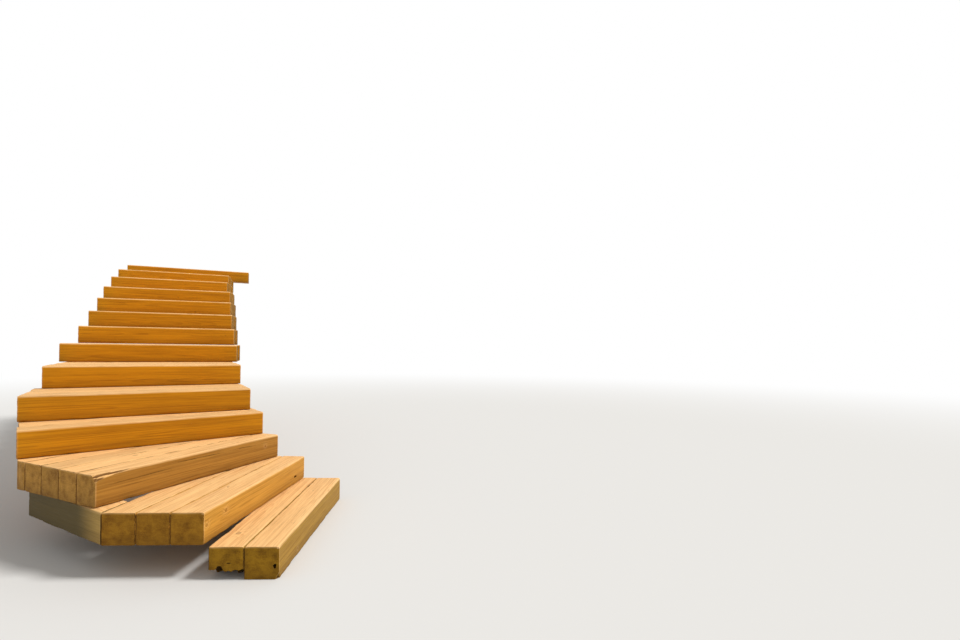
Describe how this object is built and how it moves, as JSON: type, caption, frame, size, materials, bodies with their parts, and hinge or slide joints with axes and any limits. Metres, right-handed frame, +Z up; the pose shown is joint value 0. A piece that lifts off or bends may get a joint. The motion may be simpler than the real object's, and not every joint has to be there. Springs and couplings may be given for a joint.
{
  "type": "timber garden stairs",
  "caption": "Stairs of square timbers stacked course on course up a bank; the lower courses fan round their inner ends so that the flight turns as it climbs.",
  "frame": {"origin": "middle of the underside of the bottom course's front timber, where it bears on the ground", "axes": "+X to the right along the upper courses, +Y up the flight, +Z up"},
  "size_m": [2.2416, 5.2828, 1.96],
  "materials": {
    "stained_timber": "satin stain, weathered",
    "weathered_timber": "matt, stain worn off"
  },
  "bodies": {
    "root": {"step_01_front_timber": "stained_timber", "step_01_rear_timber": "weathered_timber", "step_02_front_timber": "stained_timber", "step_02_second_timber": "stained_timber", "step_02_rear_timber": "stained_timber", "step_03_front_timber": "weathered_timber", "step_03_second_timber": "stained_timber", "step_03_third_timber": "stained_timber", "step_03_fourth_timber": "stained_timber", "step_03_rear_timber": "stained_timber", "step_04_front_timber": "stained_timber", "step_04_second_timber": "stained_timber", "step_04_rear_timber": "stained_timber", "step_05_front_timber": "stained_timber", "step_05_second_timber": "stained_timber", "step_05_third_timber": "stained_timber", "step_05_rear_timber": "stained_timber", "step_06_front_timber": "stained_timber", "step_06_second_timber": "stained_timber", "step_06_third_timber": "stained_timber", "step_06_fourth_timber": "stained_timber", "step_06_fifth_timber": "stained_timber", "step_06_rear_timber": "stained_timber", "step_07_front_timber": "stained_timber", "step_07_second_timber": "stained_timber", "step_07_rear_timber": "stained_timber", "step_08_front_timber": "stained_timber", "step_08_second_timber": "stained_timber", "step_08_rear_timber": "stained_timber", "step_09_front_timber": "stained_timber", "step_09_second_timber": "stained_timber", "step_09_rear_timber": "stained_timber", "step_10_front_timber": "stained_timber", "step_10_second_timber": "stained_timber", "step_10_rear_timber": "stained_timber", "step_11_front_timber": "stained_timber", "step_11_second_timber": "stained_timber", "step_11_rear_timber": "stained_timber", "step_12_front_timber": "stained_timber", "step_12_second_timber": "stained_timber", "step_12_third_timber": "stained_timber", "step_12_rear_timber": "stained_timber", "step_13_front_timber": "stained_timber", "step_13_second_timber": "stained_timber", "step_13_third_timber": "stained_timber", "step_13_fourth_timber": "stained_timber", "step_13_rear_timber": "stained_timber", "top_edge_timber": "stained_timber", "step_02_return_timber": "weathered_timber"}
  },
  "joints": []
}
